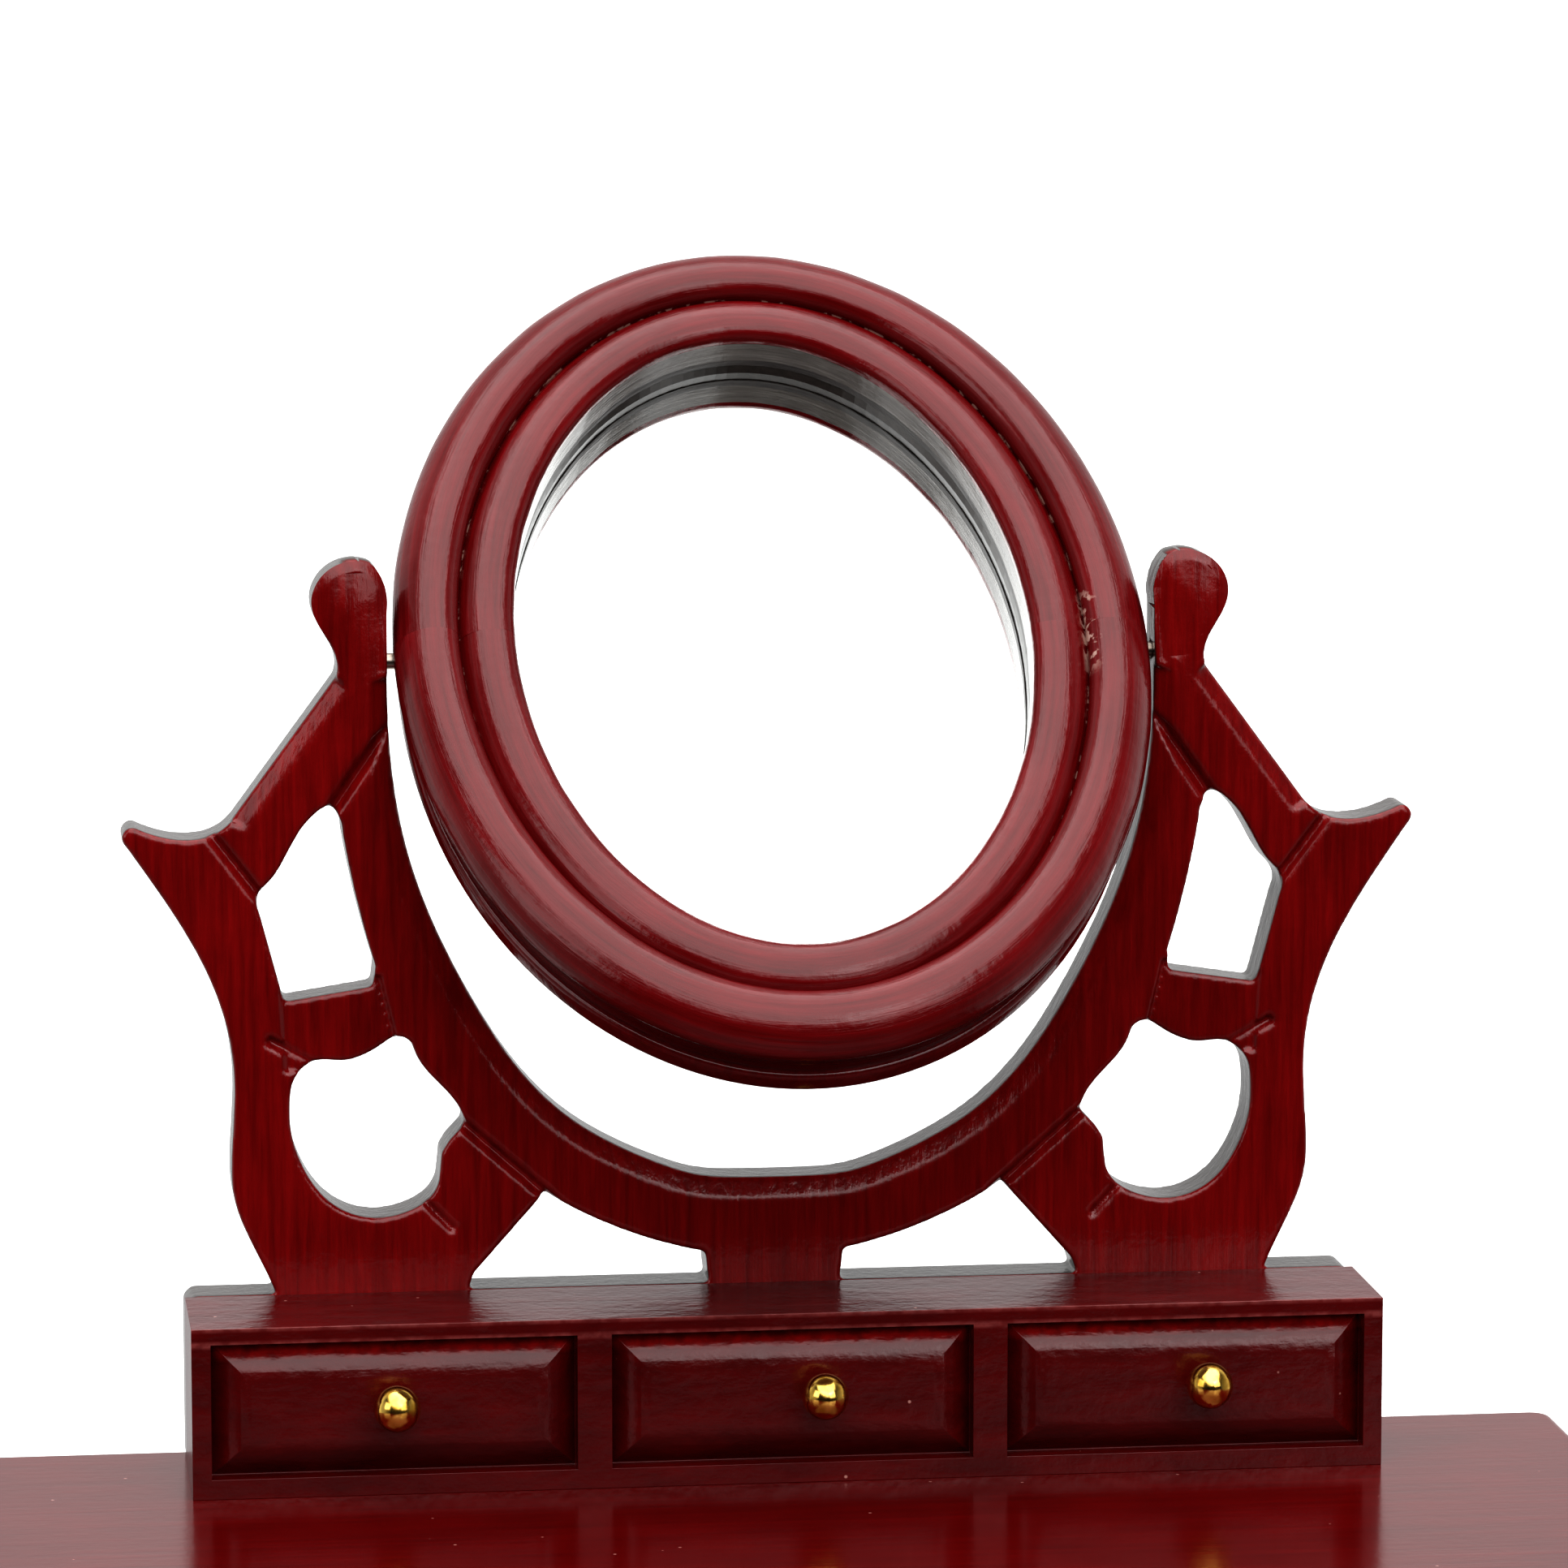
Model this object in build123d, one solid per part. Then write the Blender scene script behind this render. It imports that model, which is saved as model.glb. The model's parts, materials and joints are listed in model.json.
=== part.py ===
"""Miniature dressing table for a one-twelfth dolls house.

A kneehole table on four cabriole legs carries a solid box block with three false
drawer fronts. A carved fretwork stand rises behind the block and holds an oval
swivel mirror. All sizes are millimetres: +X to the right, +Z up, the front is at -Y.
"""
import os
from math import cos, radians, sin

from build123d import *

# ---- driving dimensions ---------------------------------------------------------

# table
TABLE_HEIGHT = 63.0
TOP_LENGTH = 90.5
TOP_DEPTH = 40.0
TOP_THICK = 3.0
TOP_CORNER = 1.25        # plan radius of the top's corners
TOP_LIP = 1.8            # height of the top's upper, full-size step
TOP_STEP = 1.1           # how far the lower step of the moulded edge is set in
TOP_EASE = 0.45          # rounding of the upper step's top edge
END_OVERHANG = 3.0
FRONT_OVERHANG = 2.5
BACK_OVERHANG = 1.5
CASE_HEIGHT = 14.0
POST = 5.6               # square head of each leg
PANEL_THICK = 1.6
PANEL_SETBACK = 0.5      # side and back panels behind the posts' faces
FRAME_SETBACK = 0.3      # front rails and drawer fronts behind the posts' faces
RAIL = 1.2               # height of the top rail and of the drawer floors
RAIL_DEPTH = 4.0
DIVIDER = 1.8
CENTRE_BAY = 28.9        # clear width of the middle drawer's bay
SIDE_ARCH = 2.4          # rise of the side panels' shaped lower edge
APRON_HEIGHT = 5.0
APRON_ARCH = 3.4         # rise of the front apron's arch

# drawers
DRAWER_GAP = 0.2         # each side and above
DRAWER_LIFT = 0.1        # below
DRAWER_BACK_GAP = 0.3
FRONT_THICK = 1.8
DRAWER_WALL = 1.0
DRAWER_BOTTOM = 0.8
DRAWER_GROOVE = 0.4      # bottom board above the sides' lower edge
SIDE_DROP = 0.9          # drawer sides are this much lower than the front

# box block and its false fronts
BLOCK_SHOULDER = 5.1     # block and board end this far outside the stand's feet
BLOCK_HEIGHT = 9.5
BLOCK_DEPTH = 8.35
BLOCK_ARRIS = 0.4
PANEL_GAP = 1.9          # stile between two false fronts
END_STILE = 1.05
TOP_STILE = 0.9
LOW_STILE = 1.1
PILLOW_DEPTH = 1.7       # groove round each false front
PILLOW_BEVEL = 1.9
FIELD_DEPTH = 0.8        # the same two sizes on the table's own drawer fronts
FIELD_BEVEL = 1.5
FIELD_MARGIN = 1.1

# brass knobs
KNOB_BALL = 1.28         # ball radius
KNOB_STAND = 1.75        # ball centre in front of the wood
KNOB_SHANK = 0.42        # shank radius
KNOB_TAIL = 1.4          # length in the wood
KNOB_LIFT = 0.35         # block knobs above the panels' middle line
BLOCK_KNOB_SHIFT = (0.0, 1.55, 1.0)

# mirror stand
BOARD_THICK = 3.35
PIVOT_RISE = 44.7        # pivot above the table top
YOKE_HALF = 21.45        # half width of the gap between the arms
YOKE_BEVEL = 1.15        # width of the bevel along the U
ARM_BEVEL = 0.95         # width of the bevel along each arm's outer edge
CARVE_DEPTH = 0.5        # depth of both bevels
BAR_DROP = 0.3           # crossbars sit this far below the board's face
BOARD_CORNER = 0.5       # cut corner at each end of the board's panel
PIN_RADIUS = 0.45
PIN_IN_ARM = 1.9
PIN_IN_FRAME = 2.3
PIN_PLAY = 0.05          # radial clearance of the pin in the frame

# mirror, tilted back at rest
MIRROR_TILT = 44.0
MIRROR_GAP = 0.35        # frame to arm at the pivots
MIRROR_FOOT_GAP = 1.55   # frame to the bottom of the U when the mirror is upright
RIM = 6.5                # width of the frame
OUTER_BEAD = 1.85        # radius
INNER_CROWN = 1.25       # height of the inner bead over its inner edge
BEAD_RISE = 1.0          # outer bead's edge in front of the pivot line
GROOVE_RISE = 1.25       # floor of the groove between the beads
GROOVE = 0.15            # width of that floor
INNER_RISE = 1.6         # inner bead's inner edge
FRAME_BACK = 1.2         # frame's back face behind the pivot line
COVE = 0.8               # recess behind the outer bead
COVE_SLOPE = 0.55
BACKBOARD_THICK = 1.4
BACKBOARD_INSET = 0.4
REBATE = 1.2             # glass tucks this far behind the inner bead
GLASS_THICK = 0.9
GLASS_PLAY = 0.15

# cabriole leg from its pad foot up to its square head: height, outward offset,
# half width and corner radius
LEG_SECTIONS = (
    (1.000, 0.00, 1.00, 0.10),
    (0.927, 0.55, 0.99, 0.30),
    (0.822, 1.45, 0.93, 0.60),
    (0.665, 0.90, 0.74, 0.80),
    (0.456, -0.45, 0.53, 0.85),
    (0.225, -1.20, 0.42, 0.85),
    (0.068, -0.70, 0.42, 0.85),
    (0.000, 0.10, 0.60, 0.85),
)
FOOT_RADIUS = 2.5
FOOT_HEIGHT = 2.1
FOOT_SINK = 0.04         # the shank runs this far into the pad
FOOT_CROWN = 0.8         # rounding of the pad foot's upper edge
FOOT_EASE = 0.3          # and of its lower edge

# ---- sizes that follow ----------------------------------------------------------

CASE_TOP = TABLE_HEIGHT - TOP_THICK
CASE_LOW = CASE_TOP - CASE_HEIGHT
CASE_X = TOP_LENGTH / 2 - END_OVERHANG
CASE_FRONT = -TOP_DEPTH / 2 + FRONT_OVERHANG
CASE_REAR = TOP_DEPTH / 2 - BACK_OVERHANG
FRAME_FRONT = CASE_FRONT + FRAME_SETBACK
BACK_FACE = CASE_REAR - PANEL_SETBACK - PANEL_THICK
BAY_X = CASE_X - POST
DIVIDER_X = CENTRE_BAY / 2 + DIVIDER
BAY_TOP = CASE_TOP - RAIL
SIDE_FLOOR = CASE_LOW + RAIL
CENTRE_FLOOR = CASE_LOW + APRON_HEIGHT + RAIL

BOARD_BACK = TOP_DEPTH / 2
BOARD_FRONT = BOARD_BACK - BOARD_THICK
BLOCK_FACE = BOARD_FRONT - BLOCK_DEPTH
PIVOT_Y = BOARD_BACK - BOARD_THICK / 2
PIVOT_Z = TABLE_HEIGHT + PIVOT_RISE

# the sizes at which the fretwork below was drawn
DRAWN_YOKE, DRAWN_PANEL, DRAWN_PIVOT = 21.45, 9.5, 44.7


def fret(x, height):
    """A point of the fretwork drawing, stretched to the stand's own width and height."""
    wide = YOKE_HALF / DRAWN_YOKE
    tall = (PIVOT_RISE - BLOCK_HEIGHT) / (DRAWN_PIVOT - DRAWN_PANEL)
    return x * wide, BLOCK_HEIGHT + (height - DRAWN_PANEL) * tall


FOOT_EDGE = fret(27.9, DRAWN_PANEL)
YOKE_FLOOR = fret(0, 15.4)
HORN_ROOT = fret(30.1, 36.15)
NECK = fret(24.3, 44.0)
BLOCK_LENGTH = 2 * (FOOT_EDGE[0] + BLOCK_SHOULDER)
MIRROR_HALF_WIDTH = YOKE_HALF - MIRROR_GAP
MIRROR_HALF_HEIGHT = PIVOT_RISE - YOKE_FLOOR[1] - MIRROR_FOOT_GAP

# the finished piece stands with the middle of its own box over the origin
REACH_BACK = (
    PIVOT_Y
    + (MIRROR_HALF_HEIGHT - BACKBOARD_INSET) * sin(radians(MIRROR_TILT))
    + (FRAME_BACK + BACKBOARD_THICK) * cos(radians(MIRROR_TILT))
)
REACH_FRONT = FRAME_FRONT - KNOB_STAND - KNOB_BALL
MID_Y = (REACH_BACK + REACH_FRONT) / 2

PARTS = {}


def block(x0, x1, y0, y1, z0, z1):
    """A plain board between two corners."""
    size = (x1 - x0, y1 - y0, z1 - z0)
    return Pos((x0 + x1) / 2, (y0 + y1) / 2, (z0 + z1) / 2) * Box(*size)


def both_sides(shape):
    """The shape and its mirror image across the middle of the table."""
    return shape, mirror(shape, about=Plane.YZ)


# ---- table ----------------------------------------------------------------------

def table_top():
    """Moulded top: a full-size upper step with eased edges over a smaller step."""
    upper = extrude(RectangleRounded(TOP_LENGTH, TOP_DEPTH, TOP_CORNER), TOP_LIP)
    upper = fillet(upper.edges().group_by(Axis.Z)[-1], TOP_EASE)
    inner = (TOP_LENGTH - 2 * TOP_STEP, TOP_DEPTH - 2 * TOP_STEP)
    lower = extrude(RectangleRounded(*inner, TOP_CORNER), TOP_THICK - TOP_LIP)
    return Pos(0, 0, CASE_TOP) * lower + Pos(0, 0, TABLE_HEIGHT - TOP_LIP) * upper


def leg(side, end):
    """Cabriole leg with a square head; side is -1 left or 1 right, end -1 front or 1 rear."""
    y_mid = CASE_FRONT + POST / 2 if end < 0 else CASE_REAR - POST / 2
    x_mid = side * (CASE_X - POST / 2)
    head = block(x_mid - POST / 2, x_mid + POST / 2, y_mid - POST / 2, y_mid + POST / 2,
                 CASE_LOW, CASE_TOP)
    sections = []
    ankle = FOOT_HEIGHT - FOOT_SINK
    for height, out, width, corner in LEG_SECTIONS:
        half = width * POST / 2
        place = Pos(x_mid + side * out, y_mid + end * out, ankle + height * (CASE_LOW - ankle))
        outline = RectangleRounded(2 * half, 2 * half, corner * half * 0.98)
        sections.append(place * outline)
    shaft = loft(sections)
    foot_out = LEG_SECTIONS[-1][1]
    foot = Pos(x_mid + side * foot_out, y_mid + end * foot_out, FOOT_HEIGHT / 2) * Cylinder(
        FOOT_RADIUS, FOOT_HEIGHT)
    foot = fillet(foot.edges().group_by(Axis.Z)[-1], FOOT_CROWN)
    foot = fillet(foot.edges().group_by(Axis.Z)[0], FOOT_EASE)
    return head + shaft + foot


def side_panel():
    """Right-hand end of the case, its lower edge cut to a shallow double curve."""
    x1 = CASE_X - PANEL_SETBACK
    y0, y1 = CASE_FRONT + POST, CASE_REAR - POST
    mid, low = (y0 + y1) / 2, CASE_LOW
    third = (y1 - y0) / 6
    outline = Line((y0, CASE_TOP), (y0, low)) + Spline(
        (y0, low), (mid - third, low + SIDE_ARCH * 0.7), (mid, low + SIDE_ARCH),
        (mid + third, low + SIDE_ARCH * 0.7), (y1, low),
        tangents=((1, 0), (1, 0)),
    ) + Line((y1, low), (y1, CASE_TOP)) + Line((y1, CASE_TOP), (y0, CASE_TOP))
    return extrude(Plane.YZ.offset(x1 - PANEL_THICK) * make_face(outline), PANEL_THICK)


def front_apron():
    """Arched board under the middle drawer, over the knees."""
    half, low = CENTRE_BAY / 2, CASE_LOW
    top = CENTRE_FLOOR - RAIL
    ear = half * 0.62
    outline = Line((-half, top), (-half, low)) + Spline(
        (-half, low), (-ear, low + APRON_ARCH * 0.45), (0, low + APRON_ARCH),
        (ear, low + APRON_ARCH * 0.45), (half, low), tangents=((1, 0), (1, 0)),
    ) + Line((half, low), (half, top)) + Line((half, top), (-half, top))
    face = Plane(origin=(0, FRAME_FRONT, 0), x_dir=(1, 0, 0), z_dir=(0, -1, 0)) * make_face(outline)
    return extrude(face, -PANEL_THICK)


def build_case():
    """Panels, rails, dividers and drawer floors between the four legs."""
    for name, shape in zip(("right", "left"), both_sides(side_panel())):
        PARTS["side_panel_" + name] = shape
    PARTS["back_panel"] = block(-BAY_X, BAY_X, BACK_FACE, BACK_FACE + PANEL_THICK,
                                CASE_LOW, CASE_TOP)
    PARTS["front_top_rail"] = block(-BAY_X, BAY_X, FRAME_FRONT, FRAME_FRONT + RAIL_DEPTH,
                                    BAY_TOP, CASE_TOP)
    divider = block(DIVIDER_X - DIVIDER, DIVIDER_X, FRAME_FRONT, BACK_FACE, SIDE_FLOOR, BAY_TOP)
    for name, shape in zip(("right", "left"), both_sides(divider)):
        PARTS["divider_" + name] = shape
    floor = block(DIVIDER_X - DIVIDER, BAY_X, FRAME_FRONT, BACK_FACE, CASE_LOW, SIDE_FLOOR)
    for name, shape in zip(("right", "left"), both_sides(floor)):
        PARTS["drawer_floor_" + name] = shape
    half = CENTRE_BAY / 2
    PARTS["drawer_floor_centre"] = block(-half, half, FRAME_FRONT, BACK_FACE,
                                         CENTRE_FLOOR - RAIL, CENTRE_FLOOR)
    PARTS["front_apron"] = front_apron()


# ---- drawers and fronts ---------------------------------------------------------

def routed_panel(x0, x1, z0, z1, face_y, bevel, depth):
    """What a router takes out round one raised panel: a pocket less the bevelled panel."""
    pocket = block(x0, x1, face_y - depth, face_y + depth, z0, z1)
    middle = ((x0 + x1) / 2, (z0 + z1) / 2)
    foot = Plane(origin=(middle[0], face_y + depth, middle[1]), x_dir=(1, 0, 0),
                 z_dir=(0, -1, 0))
    crown = foot.offset(depth)
    raised = loft([foot * Rectangle(x1 - x0, z1 - z0),
                   crown * Rectangle(x1 - x0 - 2 * bevel, z1 - z0 - 2 * bevel)])
    return pocket - raised


def knob(x, y, z):
    """Ball-headed brass pin standing out of a face at y."""
    ball = Pos(x, y - KNOB_STAND, z) * Sphere(KNOB_BALL)
    length = KNOB_STAND + KNOB_TAIL
    shank = Pos(x, y - KNOB_STAND + length / 2, z) * Rot(90, 0, 0) * Cylinder(KNOB_SHANK, length)
    return ball + shank


def knob_hole(x, y, z):
    """Blind hole that takes the tail of a knob."""
    return Pos(x, y, z) * Rot(90, 0, 0) * Cylinder(KNOB_SHANK, 2 * KNOB_TAIL)


def build_drawer(name, x0, x1, floor):
    """One drawer between x0 and x1: front, two sides, back, bottom and knob."""
    left, right = x0 + DRAWER_GAP, x1 - DRAWER_GAP
    low, high = floor + DRAWER_LIFT, BAY_TOP - DRAWER_GAP
    middle, mid_z = (left + right) / 2, (low + high) / 2
    rear = BACK_FACE - DRAWER_BACK_GAP
    inner = FRAME_FRONT + FRONT_THICK
    front = block(left, right, FRAME_FRONT, inner, low, high)
    front -= routed_panel(left + FIELD_MARGIN, right - FIELD_MARGIN, low + FIELD_MARGIN,
                          high - FIELD_MARGIN, FRAME_FRONT, FIELD_BEVEL, FIELD_DEPTH)
    front -= knob_hole(middle, FRAME_FRONT, mid_z)
    side_top = high - SIDE_DROP
    board = low + DRAWER_GROOVE
    PARTS[name + "_front"] = front
    PARTS[name + "_side_left"] = block(left, left + DRAWER_WALL, inner, rear, low, side_top)
    PARTS[name + "_side_right"] = block(right - DRAWER_WALL, right, inner, rear, low, side_top)
    PARTS[name + "_back"] = block(left + DRAWER_WALL, right - DRAWER_WALL, rear - DRAWER_WALL,
                                  rear, low, side_top)
    PARTS[name + "_bottom"] = block(left + DRAWER_WALL, right - DRAWER_WALL, inner,
                                    rear - DRAWER_WALL, board, board + DRAWER_BOTTOM)
    PARTS[name + "_knob"] = knob(middle, FRAME_FRONT, mid_z)


def build_box_block():
    """Solid block on the table top, its face routed into three false drawer fronts."""
    half = BLOCK_LENGTH / 2
    solid = block(-half, half, BLOCK_FACE, BOARD_FRONT, TABLE_HEIGHT, TABLE_HEIGHT + BLOCK_HEIGHT)
    face = solid.faces().sort_by(Axis.Y)[0]
    ends = solid.edges().filter_by(Axis.Y).group_by(Axis.Z)[-1]
    solid = fillet(face.edges() + ends, BLOCK_ARRIS)
    width = (BLOCK_LENGTH - 2 * END_STILE - 2 * PANEL_GAP) / 3
    low = TABLE_HEIGHT + LOW_STILE
    high = TABLE_HEIGHT + BLOCK_HEIGHT - TOP_STILE
    knob_z = (low + high) / 2 + KNOB_LIFT
    for index, name in enumerate(("left", "centre", "right")):
        x0 = -half + END_STILE + index * (width + PANEL_GAP)
        x = x0 + width / 2 + BLOCK_KNOB_SHIFT[index]
        solid -= routed_panel(x0, x0 + width, low, high, BLOCK_FACE, PILLOW_BEVEL, PILLOW_DEPTH)
        solid -= knob_hole(x, BLOCK_FACE, knob_z)
        PARTS["box_knob_" + name] = knob(x, BLOCK_FACE, knob_z)
    PARTS["box_block"] = solid


# ---- mirror stand ---------------------------------------------------------------

# Heights in the fretwork are above the table top; the outline is the right-hand half.

def fret_spline(*points, **ends):
    """Spline through points of the fretwork drawing."""
    return Spline([fret(*point) for point in points], **ends)


def fret_line(*points):
    """Straight runs through points of the fretwork drawing."""
    return Polyline([fret(*point) for point in points])


def fret_arc(*points):
    """Arc through three points of the fretwork drawing."""
    return ThreePointArc(*[fret(*point) for point in points])


def yoke_curve():
    """Right half of the U between the arms, from the pivot down to the middle."""
    return fret_spline((DRAWN_YOKE, 43.9), (20.3, 33.9), (16.6, 25.4), (11.0, 18.7), (5.6, 16.0),
                       (0, 15.4), tangents=((0, -1), (-1, 0)))


def stand_outline():
    """Right half of the board: panel, foot, waist, horn, arm, neck, finial and yoke."""
    end, top = BLOCK_LENGTH / 2, BLOCK_HEIGHT
    panel = Polyline(YOKE_FLOOR, (0, 0), (end, 0), (end, top - BOARD_CORNER),
                     (end - BOARD_CORNER, top), FOOT_EDGE)
    outer = fret_spline((27.9, DRAWN_PANEL), (29.1, 12.1), (30.2, 15.0), (30.3, 17.5),
                        (30.1, 21.0), (30.3, 23.6), (31.0, 26.3), (32.2, 29.0), (34.0, 32.0),
                        (35.9, 34.8))
    tip = fret_arc((35.9, 34.8), (36.1, 35.5), (35.5, 35.9))
    crest = fret_spline((35.5, 35.9), (33.4, 35.2), (31.4, 35.3), (30.1, 36.15))
    arm = Line(HORN_ROOT, NECK)
    neck = fret_spline((24.3, 44.0), (24.25, 45.0), (25.1, 46.7), (25.6, 48.3))
    bulb = fret_arc((25.6, 48.3), (24.2, 50.2), (22.2, 50.2))
    cheek = fret_spline((22.2, 50.2), (21.6, 49.2), (DRAWN_YOKE, 47.4))
    inside = fret_line((DRAWN_YOKE, 47.4), (DRAWN_YOKE, 43.9)) + yoke_curve()
    return panel + outer + tip + crest + arm + neck + bulb + cheek + inside


def stand_windows():
    """Upper window, lower window and the opening between foot and middle foot."""
    upper = (
        fret_spline((28.3, 32.5), (26.9, 34.6), (25.6, 36.4), (24.7, 36.85), (24.15, 36.2),
                    (24.0, 35.4))
        + fret_spline((24.0, 35.4), (23.35, 32.0), (22.25, 27.9))
        + fret_line((22.25, 27.9), (22.4, 26.7), (27.3, 25.95), (28.6, 30.9))
        + fret_spline((28.6, 30.9), (28.75, 31.7), (28.3, 32.5))
    )
    lower = (
        fret_spline((20.2, 23.4), (21.0, 23.9), (22.1, 23.3), (23.2, 22.75), (24.2, 22.55),
                    (25.2, 22.65), (26.2, 22.3), (26.85, 21.5), (27.05, 20.2), (27.0, 18.7),
                    (26.5, 17.0), (25.2, 14.95), (23.9, 14.05), (22.4, 13.7), (20.6, 14.0),
                    (19.2, 14.9), (18.8, 15.7))
        + fret_line((18.8, 15.7), (18.65, 17.3), (18.2, 18.0), (17.35, 18.9))
        + fret_spline((17.35, 18.9), (17.5, 19.5), (18.3, 20.7), (20.2, 23.4))
    )
    gap = (
        fret_line((3.7, DRAWN_PANEL), (17.2, DRAWN_PANEL), (16.9, 10.4), (12.9, 14.9))
        + fret_spline((12.9, 14.9), (10.2, 13.4), (7.0, 12.1), (3.9, 11.3))
        + fret_line((3.9, 11.3), (3.7, DRAWN_PANEL))
    )
    return [make_face(line) for line in (upper, lower, gap)]


def on_board(x, height):
    """A point on the board's face."""
    return Vector(x, BOARD_FRONT, TABLE_HEIGHT + height)


def v_groove(start, end, width, depth):
    """Carver's V cut in the board's face between two (x, height) points."""
    run = on_board(*end) - on_board(*start)
    plane = Plane(origin=on_board(*start), z_dir=run, x_dir=(0, 1, 0))
    shape = Polyline((depth, 0), (-depth, width), (-depth, -width), (depth, 0))
    return extrude(plane * make_face(shape), run.length)


def bevel_cut(path, width, depth):
    """Waste of a bevel along an edge of the board's face, the wood on the path's left."""
    inward = (path % 0).cross(Vector(0, 1, 0))
    plane = Plane(origin=path @ 0, x_dir=inward, z_dir=path % 0)
    back = 1 if plane.y_dir.Y > 0 else -1
    over = 0.3
    shape = Polyline(
        (-over * width, back * -over * depth), (-over * width, back * (1 + over) * depth),
        ((1 + over) * width, back * -over * depth), (-over * width, back * -over * depth))
    return sweep(plane * make_face(shape), path=path)


def mirror_stand():
    """Fretwork board with carved arms, drilled for the two mirror pins."""
    half = make_face(stand_outline())
    for window in stand_windows():
        half -= window
    front = Plane(origin=(0, BOARD_FRONT, TABLE_HEIGHT), x_dir=(1, 0, 0), z_dir=(0, -1, 0))
    board = extrude(front * half, -BOARD_THICK)
    board -= bevel_cut(front * yoke_curve(), YOKE_BEVEL, CARVE_DEPTH)
    arm = Line(on_board(*HORN_ROOT), on_board(*NECK))
    board -= bevel_cut(arm, ARM_BEVEL, CARVE_DEPTH)
    bar = make_face(fret_line((21.9, 27.4), (27.6, 26.6), (27.3, 22.0), (24.2, 22.0),
                              (21.3, 23.4), (21.9, 27.4)))
    board -= extrude(front * bar, -BAR_DROP)
    for start, end, width, depth in (
        ((24.9, 36.2), (20.9, 42.0), 1.0, 0.75),
        ((28.2, 31.4), (31.7, 36.0), 0.8, 0.6),
        ((17.9, 19.3), (12.2, 14.2), 0.8, 0.6),
        ((19.9, 14.9), (17.9, 12.8), 0.5, 0.4),
        ((25.7, 22.5), (28.3, 23.9), 0.7, 0.6),
        ((22.2, 27.4), (21.2, 23.2), 0.6, 0.6),
    ):
        board -= v_groove(fret(*start), fret(*end), width, depth)
    pin_hole = Pos(YOKE_HALF, PIVOT_Y, PIVOT_Z) * Rot(0, 90, 0) * Cylinder(
        PIN_RADIUS, 2 * PIN_IN_ARM)
    board -= pin_hole
    return board + mirror(board, about=Plane.YZ)


def pivot_pin():
    """Headless steel pin from the right arm into the mirror frame."""
    start = MIRROR_HALF_WIDTH - PIN_IN_FRAME
    length = YOKE_HALF + PIN_IN_ARM - start
    return Pos(start + length / 2, PIVOT_Y, PIVOT_Z) * Rot(0, 90, 0) * Cylinder(
        PIN_RADIUS, length)


# ---- mirror, built upright facing -Y about its own centre -------------------------

def rim_section():
    """Frame section: x runs in from the outer edge, y forward from the pivot line."""
    crown = BEAD_RISE + OUTER_BEAD
    dip = 2 * OUTER_BEAD
    inner = dip + GROOVE
    ledge = GLASS_THICK - FRAME_BACK
    return (
        Polyline((COVE, -FRAME_BACK), (COVE, BEAD_RISE - COVE_SLOPE), (0, BEAD_RISE))
        + ThreePointArc((0, BEAD_RISE), (OUTER_BEAD, crown), (dip, GROOVE_RISE))
        + Line((dip, GROOVE_RISE), (inner, GROOVE_RISE))
        + ThreePointArc((inner, GROOVE_RISE), ((inner + RIM) / 2, INNER_RISE + INNER_CROWN),
                        (RIM, INNER_RISE))
        + Polyline((RIM, INNER_RISE), (RIM, ledge), (RIM - REBATE, ledge),
                   (RIM - REBATE, -FRAME_BACK), (COVE, -FRAME_BACK))
    )


def frame_half(side):
    """Half of the oval ring from pivot to pivot; side is 1 for the upper half, -1 the lower."""
    path = Plane.XZ * EllipticalCenterArc(
        (0, 0), MIRROR_HALF_WIDTH, MIRROR_HALF_HEIGHT, start_angle=90 - 90 * side, arc_size=180)
    plane = Plane(origin=(side * MIRROR_HALF_WIDTH, 0, 0), x_dir=(-side, 0, 0), z_dir=(0, 0, side))
    ring = sweep(plane * make_face(rim_section()), path=path)
    for x in (-MIRROR_HALF_WIDTH, MIRROR_HALF_WIDTH):
        ring -= Pos(x, 0, 0) * Rot(0, 90, 0) * Cylinder(
            PIN_RADIUS + PIN_PLAY, 2 * (PIN_IN_FRAME + 2 * PIN_PLAY))
    return ring


def oval_plate(inset, y0, y1):
    """Flat oval plate, smaller than the frame by inset."""
    face = Plane.XZ.offset(-y1) * Ellipse(MIRROR_HALF_WIDTH - inset, MIRROR_HALF_HEIGHT - inset)
    return extrude(face, y1 - y0)


def build_mirror():
    """Two frame halves, glass and backboard, tilted back on the pivot."""
    glass_y = FRAME_BACK - GLASS_THICK
    upright = {
        "mirror_frame_upper": frame_half(1),
        "mirror_frame_lower": frame_half(-1),
        "mirror_glass": oval_plate(RIM - REBATE + GLASS_PLAY, glass_y, FRAME_BACK),
        "mirror_backboard": oval_plate(BACKBOARD_INSET, FRAME_BACK, FRAME_BACK + BACKBOARD_THICK),
    }
    place = Pos(0, PIVOT_Y, PIVOT_Z) * Rot(-MIRROR_TILT, 0, 0)
    for name, shape in upright.items():
        PARTS[name] = place * shape


# ---- assembly -------------------------------------------------------------------

PARTS["table_top"] = table_top()
for end_name, end in (("front", -1), ("rear", 1)):
    for side_name, side in (("left", -1), ("right", 1)):
        PARTS["leg_" + end_name + "_" + side_name] = leg(side, end)
build_case()
build_drawer("drawer_left", -BAY_X, -DIVIDER_X, SIDE_FLOOR)
build_drawer("drawer_centre", -CENTRE_BAY / 2, CENTRE_BAY / 2, CENTRE_FLOOR)
build_drawer("drawer_right", DIVIDER_X, BAY_X, SIDE_FLOOR)
build_box_block()
PARTS["mirror_stand"] = mirror_stand()
for pin_name, pin in zip(("right", "left"), both_sides(pivot_pin())):
    PARTS["pivot_pin_" + pin_name] = pin
build_mirror()

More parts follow.
